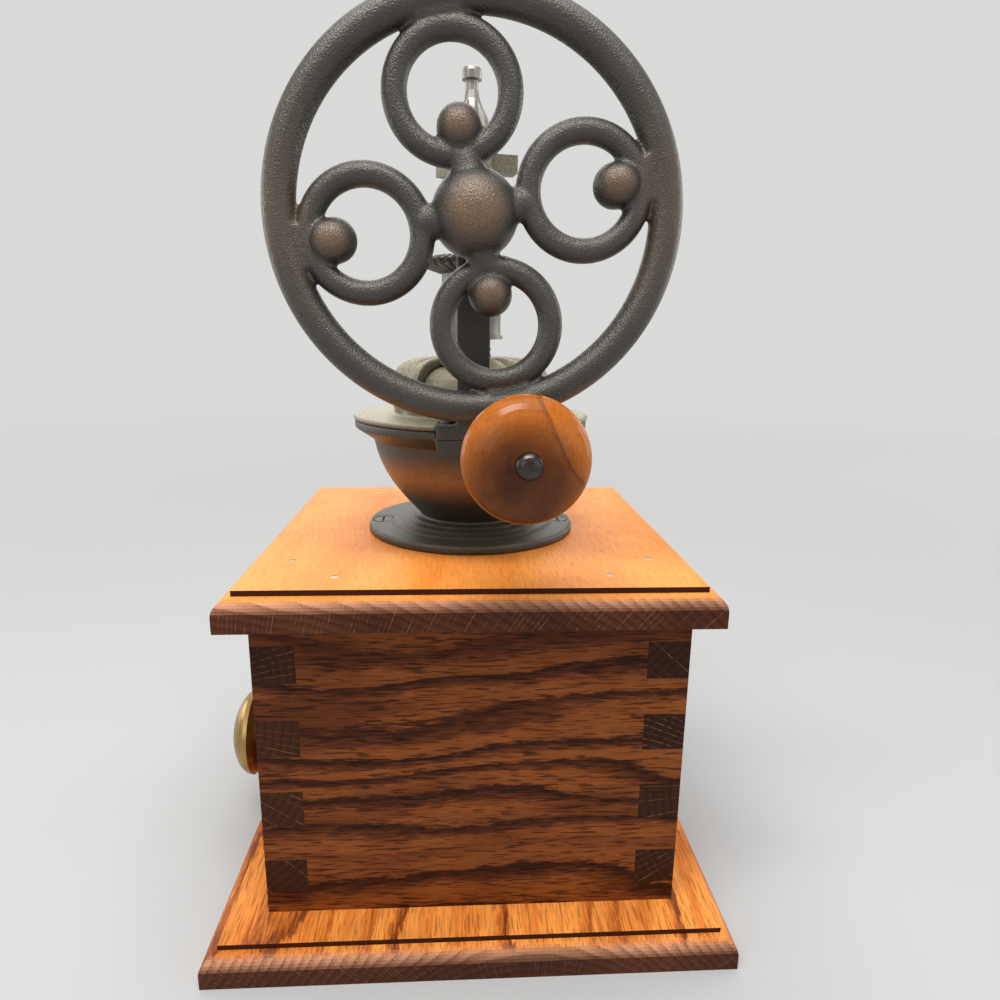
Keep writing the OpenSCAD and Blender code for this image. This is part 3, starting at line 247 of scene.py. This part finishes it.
def oak(name, axes, colours, spacing=14 * MM, dark=1.0, dashes=1.0, end=None, pith=(0.0, 0.0),
        rays_apart=27, groove=None, finish=0.42, streaks=1.0, seed=0.0):
    """Stained oak: dark bands that wander along the grain, short open pores, and end grain.

    axes are the grain, the width and the thickness of the board. colours run from pale to dark.
    end gives the end grain's ground, its ground where it faces up, painted paler as light, and the
    rays' colour. The rays run from pith, rays_apart of them to a radian. groove is the height above
    which upright faces are painted dark as shade; with it, other upright faces get painted shade too.
    """
    g = Graph(name)
    point = g.place()
    facing = g.facing()
    up = facing[Z]
    grain, across, through = (point[i] for i in axes)
    spread = (grain, g.add(across, seed), through)
    broad = g.minus(g.noise(spread, (5, 19, 19), 2, 0.45), 0.5)
    small = g.noise(spread, (15, 60, 60), 3)
    fibres = g.noise(spread, (70, 1500, 1500), 4, 0.65)
    ragged = g.minus(g.noise(spread, (130, 900, 900), 3, 0.7), 0.5)
    wander = g.add(g.times(broad, 2 * BAND_SWING), g.times(g.minus(small, 0.5), 0.26 * BAND_SWING))
    level = g.times(g.add(spread[1], g.times(through, BAND_LEAN), wander), 1 / spacing)
    level = g.add(level, g.times(ragged, 0.6))
    band = g.ramp(g.math("FRACT", level), (0.0, 0.0), (0.34, 0.0), (0.56, 0.55), (0.86, 1.0), (0.98, 0.0))
    each = g.ramp(g.random(g.math("FLOOR", level)), (0.0, 0.3), (0.6, 1.0))
    patch = g.ramp(g.noise(spread, (9, 34, 34), 2), (0.50, 0.0), (0.66, 0.55 * dark))
    band = g.math("MAXIMUM", g.times(band, each, dark), patch)
    band = g.add(band, g.times(ragged, 0.55 * dark))
    colour = g.ramp(band, (0.0, colours[0]), (0.45, colours[1]), (0.95, colours[2]))
    colour = g.mix(streaks, colour, g.shade(colour, g.ramp(fibres, (0.28, 0.72), (0.72, 1.24))))
    blotch = g.ramp(g.noise(point, 26, 3, 0.6), (0.46, 0.0), (0.66, 0.45))
    colour = g.mix(blotch, colour, g.mix(0.5, colour, colours[2]))
    pores = g.ramp(g.noise(spread, (120, 1500, 1500), 1, 0.4), (0.57, 0.0), (0.63, dashes))
    colour = g.mix(g.times(pores, 0.68), colour, darker(colours[2], 0.45))
    if end is not None:
        off = g.minus(across, pith[0]), g.minus(through, pith[1])
        cut = end_grain(g, point, off, small, up, end, rays_apart)
        endways = g.math("ABSOLUTE", facing[axes[0]])
        if groove is None:
            is_end = g.ramp(endways, (0.55, 0.0), (0.85, 1.0))
        else:
            is_end = g.times(g.ramp(endways, (0.25, 0.0), (0.5, 1.0)), g.ramp(up, (0.70, 1.0), (0.96, 0.0)))
        colour = g.mix(is_end, colour, cut)
    if groove is not None:
        # Painted shade: upright sides that are not end grain are darkened
        side = g.times(g.ramp(up, (0.35, 1.0), (0.92, 0.0)), g.minus(1.0, is_end))
        colour = g.mix(side, colour, g.shade(colour, SIDE_SHADE))
        # Painted shade: upright faces above the groove height are painted dark
        inside = g.times(g.math("GREATER_THAN", point[Z], groove), g.math("LESS_THAN", up, 0.5))
        colour = g.mix(inside, colour, GROOVE_SHADE)
    open_grain = g.add(g.times(fibres, 0.4), g.times(pores, 0.6))
    roughness = g.ramp(open_grain, (0.0, finish - 0.06), (1.0, finish + 0.22))
    relief = g.bump(g.minus(g.times(fibres, 0.35), pores), 0.3, 0.2 * MM)
    g.set(Base_Color=colour, Roughness=roughness, Normal=relief, Specular_IOR_Level=0.12)
    return g.material


# Wood from pale to dark. The boards' palettes are paler than the box's, partly their own tone and partly painted
# light from above on their tops.
BOX = (srgb(136, 74, 32), srgb(100, 50, 22), srgb(46, 19, 8))
TOP = (srgb(248, 158, 74), srgb(238, 142, 58), srgb(204, 96, 32))
BASE = (srgb(246, 156, 72), srgb(222, 124, 50), srgb(124, 61, 27))
PLAIN = (srgb(212, 178, 132), srgb(200, 162, 114), srgb(168, 126, 82))
# End grain, end grain that faces up, painted paler there as light from above, and rays
BOX_END = (srgb(60, 31, 15), srgb(60, 31, 15), srgb(150, 108, 72))
BOARD_END = (srgb(84, 45, 27), srgb(206, 146, 112), srgb(162, 116, 88))
# Above these heights the upright faces of the two boards are in the shadow groove, and are painted dark as shade
TOP_GROOVE = 138.65 * MM
BASE_GROOVE = 11.05 * MM


def paint_wood():
    """Each board has its own bands, with the grain along it."""
    paint("top_board", oak("oak_top", (X, Y, Z), TOP, spacing=34 * MM, dark=0.5, dashes=0.25, end=BOARD_END,
                           pith=(-0.10, -0.05), rays_apart=130, groove=TOP_GROOVE, finish=0.40, streaks=0.5,
                           seed=0.31))
    paint("base_board", oak("oak_base", (X, Y, Z), BASE, spacing=13 * MM, dashes=0.6, end=BOARD_END,
                            pith=(0.02, -0.05), rays_apart=58, groove=BASE_GROOVE, seed=0.83))
    for node, seed in {"wheel_side_panel": 0.0, "far_side_panel": 0.47}.items():
        paint(node, oak("oak_" + node, (Y, Z, X), BOX, end=BOX_END, seed=seed))
    ends = {"front_panel": ((0.097, -0.13), 0.21), "rear_panel": ((0.062, 0.125), 0.66),
            "drawer_front": ((0.06, -0.14), 0.92)}
    for node, (pith, seed) in ends.items():
        paint(node, oak("oak_" + node, (X, Z, Y), BOX, end=BOX_END, pith=pith, seed=seed))
    plain = {"drawer_left_side": (Y, Z, X), "drawer_right_side": (Y, Z, X), "drawer_back": (X, Z, Y),
             "drawer_bottom": (X, Y, Z), "drawer_guides": (Y, Z, X)}
    for i, (node, axes) in enumerate(plain.items()):
        paint(node, oak("pale_" + node, axes, PLAIN, dark=0.4, dashes=0.3, finish=0.6, seed=0.17 * i))


# The knob's growth line is a plane: its lean along x, y and z, and its distance from the knob's centre
LINE_LEAN = (0.19, 0.885, 0.466)
LINE_PLACE = 13.5 * MM
LINE_SPACING = 40 * MM
LINE_PHASE = 0.985
# The knob's dark centre lies a little off the screw, along y and z, and fades out towards the neck. Set low, it
# also paints shade on the knob's lower part.
HEART_AND_SHADE_OFF = (-2 * MM, -6 * MM)
HEART_R = 20 * MM
HEART_FROM_X = 88 * MM


def knob_wood():
    """Turned hardwood under a glossy amber lacquer, darker round the screw and, as painted shade, towards the
    bottom.
    """
    g = Graph("knob_wood")
    centre = JOINT_AT["knob_spin"]
    x, y, z = g.place()
    y, z = g.minus(y, centre.y), g.minus(z, centre.z)
    place = (x, y, z)
    bend = g.times(g.minus(g.noise(place, (9, 60, 60)), 0.5), 3 * MM)
    from_centre = (g.minus(x, centre.x), y, z)
    depth = g.add(*(g.times(p, lean) for p, lean in zip(from_centre, LINE_LEAN)), bend)
    turn = g.times(g.add(depth, LINE_PHASE * LINE_SPACING - LINE_PLACE), 1 / LINE_SPACING)
    line = g.ramp(g.math("FRACT", turn),
                  (0.0, 0.0), (0.70, 0.05), (0.95, 0.22), (LINE_PHASE, 0.7), (1.0, 0.0))
    fibres = g.noise(place, (160, 1500, 520), 4, 0.7)
    fleck = g.ramp(g.noise(place, (1400, 3600, 1900), 2), (0.52, 0.0), (0.66, 1.0))
    honey = g.ramp(line, (0.0, srgb(196, 108, 26)), (1.0, srgb(104, 46, 10)))
    honey = g.shade(honey, g.ramp(fibres, (0.25, 0.76), (0.75, 1.16)))
    honey = g.mix(g.times(fleck, 0.36), honey, srgb(80, 34, 8))
    # A dark centre round the screw, set low so that it also paints shade on the lower part
    radius = g.length(g.join(g.minus(y, HEART_AND_SHADE_OFF[0]), g.minus(z, HEART_AND_SHADE_OFF[1]), 0.0))
    dark_heart_and_shade = g.ramp(g.times(radius, 1 / HEART_R), (0.25, 1.0), (0.60, 0.9), (0.85, 0.5), (1.0, 0.15))
    front = g.ramp(g.times(g.minus(x, HEART_FROM_X), 1 / HEART_R), (0.0, 0.0), (0.5, 1.0))
    cloud = g.ramp(g.noise(place, (30, 70, 50)), (0.3, 0.75), (0.7, 1.0))
    honey = g.mix(g.times(dark_heart_and_shade, front, cloud), honey, srgb(52, 20, 7))
    g.set(Base_Color=honey, Roughness=g.ramp(fibres, (0.2, 0.40), (0.8, 0.52)), Specular_IOR_Level=0.08)
    g.set(Coat_Weight=0.3, Coat_Roughness=0.12, Normal=g.bump(g.add(fibres, fleck), 0.16, 0.12 * MM))
    return g.material


# Metals

# Pale tint for iron that faces up: mostly painted sheen from light above, with a little dust
DUST_AND_SHEEN = srgb(166, 157, 126)


def iron(name, rubbed=None, dust_and_sheen=0.0, gloss=0.85):
    """Black painted iron with a sandy cast skin.

    rubbed holds the two bronze tints of the worn places. The next argument lays a pale tint, mostly painted sheen
    with a little dust, strongest on what faces up and weaker on upright faces.
    """
    g = Graph(name)
    place = g.place()
    sand = g.noise(place, 1700, 2, 0.5)
    waves = g.noise(place, 260, 2)
    cloud = g.noise(place, 34, 2)
    colour = g.ramp(cloud, (0.3, srgb(34, 32, 29)), (0.7, srgb(44, 41, 37)))
    if rubbed:
        colour = g.mix(g.attribute("worn"), colour, g.ramp(cloud, (0.3, rubbed[0]), (0.7, rubbed[1])))
    # Painted sheen: a pale tint by how far the surface faces up, standing in for light from above, with a little
    # dust
    if dust_and_sheen:
        upward = g.add(g.facing()[Z], g.times(g.minus(waves, 0.5), 0.9))
        dust_and_sheen_share = g.ramp(upward, (0.0, 0.35 * dust_and_sheen), (0.95, dust_and_sheen))
        colour = g.mix(dust_and_sheen_share, colour, DUST_AND_SHEEN)
    colour = g.shade(colour, g.ramp(sand, (0.36, 0.74), (0.64, 1.26)))
    g.set(Base_Color=colour, Roughness=g.ramp(sand, (0.3, 0.44), (0.7, 0.32)), Metallic=0.1)
    g.set(Specular_Tint=(1.0, 0.94, 0.84, 1))
    relief = g.bump(g.add(sand, g.times(waves, 0.4)), 0.8, 0.35 * MM)
    g.set(Normal=relief, Specular_IOR_Level=gloss)
    return g.material


def metal(name, pale, dark, roughness, metallic=1.0, bump=0.08):
    """Bare metal with a fine uneven sheen."""
    g = Graph(name)
    place = g.place()
    fine = g.noise(place, 900, 3, 0.6)
    broad = g.noise(place, 60, 3, 0.6)
    colour = g.mix(g.ramp(broad, (0.35, 0.0), (0.7, 1.0)), pale, dark)
    both = g.add(g.times(fine, 0.5), g.times(broad, 0.5))
    rough = g.ramp(both, (0.3, roughness * 0.8), (0.7, roughness * 1.35))
    g.set(Base_Color=colour, Roughness=rough, Metallic=metallic, Normal=g.bump(fine, bump, 0.1 * MM))
    return g.material


def paint_metals():
    """The small metal pieces, by kind."""
    groups = [
        (metal("dark_steel", srgb(96, 94, 91), srgb(64, 62, 60), 0.38),
         ["base_screws", "drawer_knob_screw", "flange_screws", "bridge_screws", "yoke_screws",
          "crown_gear_pin", "pinion_pin", "wheel_set_screw", "shaft_washer", "knob_washer", "door_retainer"]),
        (metal("black_steel", srgb(82, 76, 72), srgb(48, 44, 42), 0.22), ["crank_stud"]),
        (metal("grey_steel", srgb(158, 155, 145), srgb(110, 107, 99), 0.34, metallic=0.8),
         ["adjusting_screw"]),
        (metal("gear_iron", srgb(132, 129, 119), srgb(92, 89, 82), 0.42, metallic=0.6, bump=0.3),
         ["crown_gear", "gear_hub", "pinion"]),
        (metal("bright_steel", srgb(176, 175, 172), srgb(140, 139, 137), 0.26),
         ["spindle", "drive_shaft", "thrust_ball"]),
        (metal("brad_steel", srgb(206, 190, 162), srgb(176, 156, 126), 0.45, metallic=0.4), ["top_brads"]),
        (metal("burr_iron", srgb(104, 103, 101), srgb(74, 72, 70), 0.5, metallic=0.8, bump=0.3),
         ["burr_ring", "burr_cone"]),
        (metal("aged_bronze", srgb(150, 112, 70), srgb(104, 74, 44), 0.38),
         ["lower_bush", "crown_bush", "outer_bush", "inner_bush"]),
        (metal("aged_brass", srgb(176, 146, 92), srgb(132, 104, 60), 0.30, bump=0.05), ["drawer_knob"]),
        (metal("spring_steel", srgb(140, 138, 134), srgb(90, 86, 82), 0.3), ["spindle_spring"]),
    ]
    for material, nodes in groups:
        for node in nodes:
            paint(node, material)


# Castings: copies of the CAD pieces whose shapes run into each other with small fillets

def cast(node, grid, passes, worn=None, shift=None, balls=()):
    """A cast copy of a CAD node: joined on a fine grid, smoothed, and rubbed where worn(point) says.

    shift(point) is how far the skin lies from the CAD's there. balls are (centre, radius) of added metal.
    """
    piece = NODES[node].copy()
    piece.data = NODES[node].data.copy()
    piece.name = node + "_casting"
    piece.parent = None
    for key in list(piece.keys()):
        del piece[key]
    bpy.context.scene.collection.objects.link(piece)
    if balls:
        shape = bmesh.new()
        shape.from_mesh(piece.data)
        for centre, radius in balls:
            place = Matrix.Translation(centre)
            bmesh.ops.create_icosphere(shape, subdivisions=4, radius=radius, matrix=place)
        shape.to_mesh(piece.data)
        shape.free()
    remesh = piece.modifiers.new("grid", "REMESH")
    remesh.mode = "VOXEL"
    remesh.voxel_size = grid
    smooth = piece.modifiers.new("soften", "SMOOTH")
    smooth.factor = 0.5
    smooth.iterations = passes
    depsgraph = bpy.context.evaluated_depsgraph_get()
    mesh = bpy.data.meshes.new_from_object(piece.evaluated_get(depsgraph))
    piece.modifiers.clear()
    piece.data = mesh
    mesh.name = piece.name
    mesh.polygons.foreach_set("use_smooth", [True] * len(mesh.polygons))
    if shift is not None:
        for vertex in mesh.vertices:
            vertex.co += shift(vertex.co)
    if worn is not None:
        values = [min(1.0, max(0.0, worn(v.co))) for v in mesh.vertices]
        mesh.attributes.new("worn", "FLOAT", "POINT").data.foreach_set("value", values)
    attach(piece, BODY_OF[node])
    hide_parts(node)
    return piece


def near(point, centre, inner, outer):
    """1 within inner of centre, falling to 0 at outer."""
    return (outer - (point - centre).length) / (outer - inner)


WHEEL_CENTRE = Vector((68.5 * MM, 0, 258.8 * MM))
RING_TURN = math.radians(11.5)
# How far each ring's boss is from the wheel's centre, and the gap beside those of the level rings
BOSS_OUT = {0: 43.9 * MM, 1: 24.5 * MM, 2: 43.9 * MM, 3: 24.5 * MM}
LEVEL_RINGS = (0, 2)
BOSS_R = 6.9 * MM
BOSS_GAP = 1.5 * MM


def boss_place(ring, out, forward):
    """The place from the wheel's centre that lies out along a ring's arm, and forward of it."""
    turn = RING_TURN + ring * math.pi / 2
    return Vector((forward, out * math.cos(turn), out * math.sin(turn)))


def wheel_worn(point):
    """The middle of the hub and of the bosses is rubbed, and the rim's two sides a little."""
    p = point - WHEEL_CENTRE
    values = [near(p, Vector((13 * MM, 0, 0)), 5 * MM, 12 * MM)]
    for ring, out in BOSS_OUT.items():
        values.append(near(p, boss_place(ring, out, 7 * MM), 2 * MM, 6.5 * MM))
    if abs(p.y) > 50 * MM:
        values.append(0.25 * (1 - abs(p.z) / (38 * MM)))
    return max(values)


def side_bosses():
    """Metal that joins the level rings' bosses to the rings."""
    return [(WHEEL_CENTRE + boss_place(ring, BOSS_OUT[ring] + BOSS_GAP, 0), BOSS_R) for ring in LEVEL_RINGS]


# The bronze tint's height on the bowl, and how far it reaches up and down from there
BRONZE_MIDDLE = 166.5 * MM
BRONZE_REACH = 10.5 * MM


def bowl_worn(point):
    """The middle of the bowl's flank shows a bronze tint."""
    return 1.1 * (1 - abs(point.z - BRONZE_MIDDLE) / BRONZE_REACH)


# Everything below this height is the flange, with a screw this far out on the two Y sides
FLANGE_TOP = 146 * MM
SCREW_OUT = 38 * MM
DISH_R = 7 * MM
DISH_EDGE = 3 * MM
DISH_DEPTH = 0.6 * MM


def round_screws(point):
    """A shallow dish round each screw in the flange."""
    if point.z > FLANGE_TOP:
        return Vector((0, 0, 0))
    out = math.hypot(point.x, abs(point.y) - SCREW_OUT)
    return Vector((0, 0, -DISH_DEPTH * min(1.0, max(0.0, (DISH_R - out) / DISH_EDGE))))


# The dome's outline is a curve of the fourth power. Its lobes fade into the foot and into the crown.
DOME_FOOT = 190.2 * MM
DOME_R = 32 * MM
DOME_H = 22.4 * MM
DOME_POWER = 4
LOBES = 16
LOBE_RISE = 1.3 * MM
LOBE_MEAN = 0.35
FOOT_CLEAR = 1.5 * MM
FOOT_FADE = 7 * MM
CROWN_R = 8 * MM


def fuller_lobes(point):
    """The dome's lobes stand out a little more than the solid's."""
    out = math.hypot(point.x, point.y)
    up = point.z - DOME_FOOT
    inside = (out / DOME_R) ** DOME_POWER + (up / DOME_H) ** DOME_POWER < 0.9
    if up < FOOT_CLEAR or out < CROWN_R or inside:
        return Vector((0, 0, 0))
    wave = abs(math.cos(LOBES / 2 * math.atan2(point.y, point.x))) - LOBE_MEAN
    fade = min(1.0, up / FOOT_FADE) * min(1.0, (out - CROWN_R) / CROWN_R)
    outward = Vector((point.x / DOME_R, point.y / DOME_R, up / DOME_H)).normalized()
    return LOBE_RISE * wave * fade * outward


def make_castings():
    """The four iron castings, and the small iron pieces painted like them."""
    plain = iron("iron")
    wheel = iron("iron_wheel", rubbed=(srgb(86, 61, 43), srgb(104, 77, 55)))
    # The bowl gets a little of the pale painted sheen on what faces up, and the cover, door and star nut get a lot
    bowl = iron("iron_bowl", rubbed=(srgb(118, 78, 48), srgb(138, 94, 58)), dust_and_sheen=0.12, gloss=0.6)
    dust_and_sheen = iron("iron_dusty", dust_and_sheen=0.85)
    paint(cast("flywheel", 0.6 * MM, 6, wheel_worn, balls=side_bosses()), wheel)
    paint(cast("hopper_bowl", 0.6 * MM, 2, bowl_worn, shift=round_screws), bowl)
    paint(cast("hopper_cover", 0.5 * MM, 2, shift=fuller_lobes), dust_and_sheen)
    paint(cast("yoke", 0.7 * MM, 4), plain)
    for node in ("lower_bridge", "door_knob"):
        paint(node, plain)
    for node in ("cover_door", "star_nut"):
        paint(node, dust_and_sheen)


def soften_edges():
    """A hair of rounding on sawn edges and machined parts."""
    widths = {
        0.5 * MM: ["base_board", "top_board"],
        0.35 * MM: ["wheel_side_panel", "far_side_panel", "drawer_front"],
        0.25 * MM: ["star_nut", "yoke_screws", "flange_screws", "knob_washer"],
    }
    for width, nodes in widths.items():
        for node in nodes:
            bevel = NODES[node].modifiers.new("edge", "BEVEL")
            bevel.width = width
            bevel.segments = 2
            bevel.limit_method = "ANGLE"
            bevel.angle_limit = math.radians(40)


# Camera, floor and light

PALE = (0.70, 0.70, 0.69, 1)
FLOOR = (0.52, 0.52, 0.51, 1)
FLOOR_REACH = 8.0
WORLD_LIGHT = (0.94, 0.96, 1.0, 1)
WORLD_STRENGTH = 0.35
LAMPS_AIM = Vector((0, 0, 0.15))


def aim(thing, place, forward, roll=0.0):
    """Puts a camera or lamp in its place, looking forward."""
    thing.rotation_mode = "QUATERNION"
    thing.location = place
    turn = forward.to_track_quat("-Z", "Y")
    thing.rotation_quaternion = Quaternion(forward.normalized(), roll) @ turn


def make_camera():
    data = bpy.data.cameras.new("camera")
    data.lens = CAMERA_LENS
    data.sensor_width = CAMERA_SENSOR
    data.clip_start = CAMERA_NEAREST
    camera = bpy.data.objects.new("camera", data)
    bpy.context.scene.collection.objects.link(camera)
    aim(camera, CAMERA_PLACE, CAMERA_FORWARD, CAMERA_ROLL)
    bpy.context.scene.camera = camera


def seen_directly(tree):
    """1 for rays that show the background: the camera's own and those off or through a glossy surface."""
    path = tree.nodes.new("ShaderNodeLightPath")
    total = path.outputs["Is Camera Ray"]
    for name in ("Is Glossy Ray", "Is Transmission Ray"):
        node = tree.nodes.new("ShaderNodeMath")
        node.operation = "MAXIMUM"
        tree.links.new(total, node.inputs[0])
        tree.links.new(path.outputs[name], node.inputs[1])
        total = node.outputs[0]
    return total


def make_floor():
    """A pale floor that runs into the background a few steps away."""
    mesh = bpy.data.meshes.new("floor")
    r = FLOOR_REACH
    corners = [(-r, -r, 0), (r, -r, 0), (r, r, 0), (-r, r, 0)]
    mesh.from_pydata(corners, [], [(0, 1, 2, 3)])
    floor = bpy.data.objects.new("floor", mesh)
    bpy.context.scene.collection.objects.link(floor)
    g = Graph("floor")
    g.set(Base_Color=FLOOR, Roughness=0.9, Specular_IOR_Level=0.0)
    away = g.times(g.length(g.join(*g.place())), 0.4)
    far = g.ramp(away, (0.08, 0.0), (0.20, 0.35), (0.40, 0.8), (0.75, 1.0))
    glow = g.tree.nodes.new("ShaderNodeEmission")
    glow.inputs["Color"].default_value = PALE
    fade = g.tree.nodes.new("ShaderNodeMixShader")
    g.put(fade.inputs[0], g.times(far, seen_directly(g.tree)))
    g.put(fade.inputs[1], g.shader.outputs[0])
    g.put(fade.inputs[2], glow.outputs[0])
    g.put(g.output.inputs["Surface"], fade.outputs[0])
    mesh.materials.append(g.material)


def make_light():
    """Soft lamps, each with its place, its width and height, and its power, and an even pale room."""
    lamps = {
        "overhead": ((0.05, 0.0, 1.30), (1.2, 1.2), 9.0),
        "top_front": ((0.40, -0.10, 0.90), (0.8, 0.12), 5.0),
        "front_left": ((0.95, -0.95, 0.75), (0.9, 0.9), 3.0),
        "front_right": ((0.90, 1.00, 0.60), (0.9, 0.9), 2.2),
        "behind": ((-1.50, -0.20, 1.20), (1.5, 1.5), 9.5),
        "far_left": ((-0.55, -1.30, 0.45), (0.8, 0.8), 5.0),
        "far_right": ((-0.55, 1.30, 0.45), (0.8, 0.8), 5.0),
    }
    for name, (place, size, power) in lamps.items():
        data = bpy.data.lights.new(name, "AREA")
        data.shape = "RECTANGLE"
        data.size, data.size_y = size
        data.energy = power
        lamp = bpy.data.objects.new(name, data)
        bpy.context.scene.collection.objects.link(lamp)
        aim(lamp, Vector(place), LAMPS_AIM - Vector(place))
    world = bpy.data.worlds.new("world")
    bpy.context.scene.world = world
    world.use_nodes = True
    tree = world.node_tree
    light = tree.nodes["Background"]
    light.inputs["Color"].default_value = WORLD_LIGHT
    light.inputs["Strength"].default_value = WORLD_STRENGTH
    seen = tree.nodes.new("ShaderNodeBackground")
    seen.inputs["Color"].default_value = PALE
    either = tree.nodes.new("ShaderNodeMixShader")
    tree.links.new(seen_directly(tree), either.inputs[0])
    tree.links.new(light.outputs[0], either.inputs[1])
    tree.links.new(seen.outputs[0], either.inputs[2])
    tree.links.new(either.outputs[0], tree.nodes["World Output"].inputs["Surface"])


make_camera()
make_floor()
make_light()
paint_wood()
paint_metals()
paint("crank_knob", knob_wood())
make_castings()
soften_edges()
bpy.context.scene.view_settings.view_transform = "Standard"
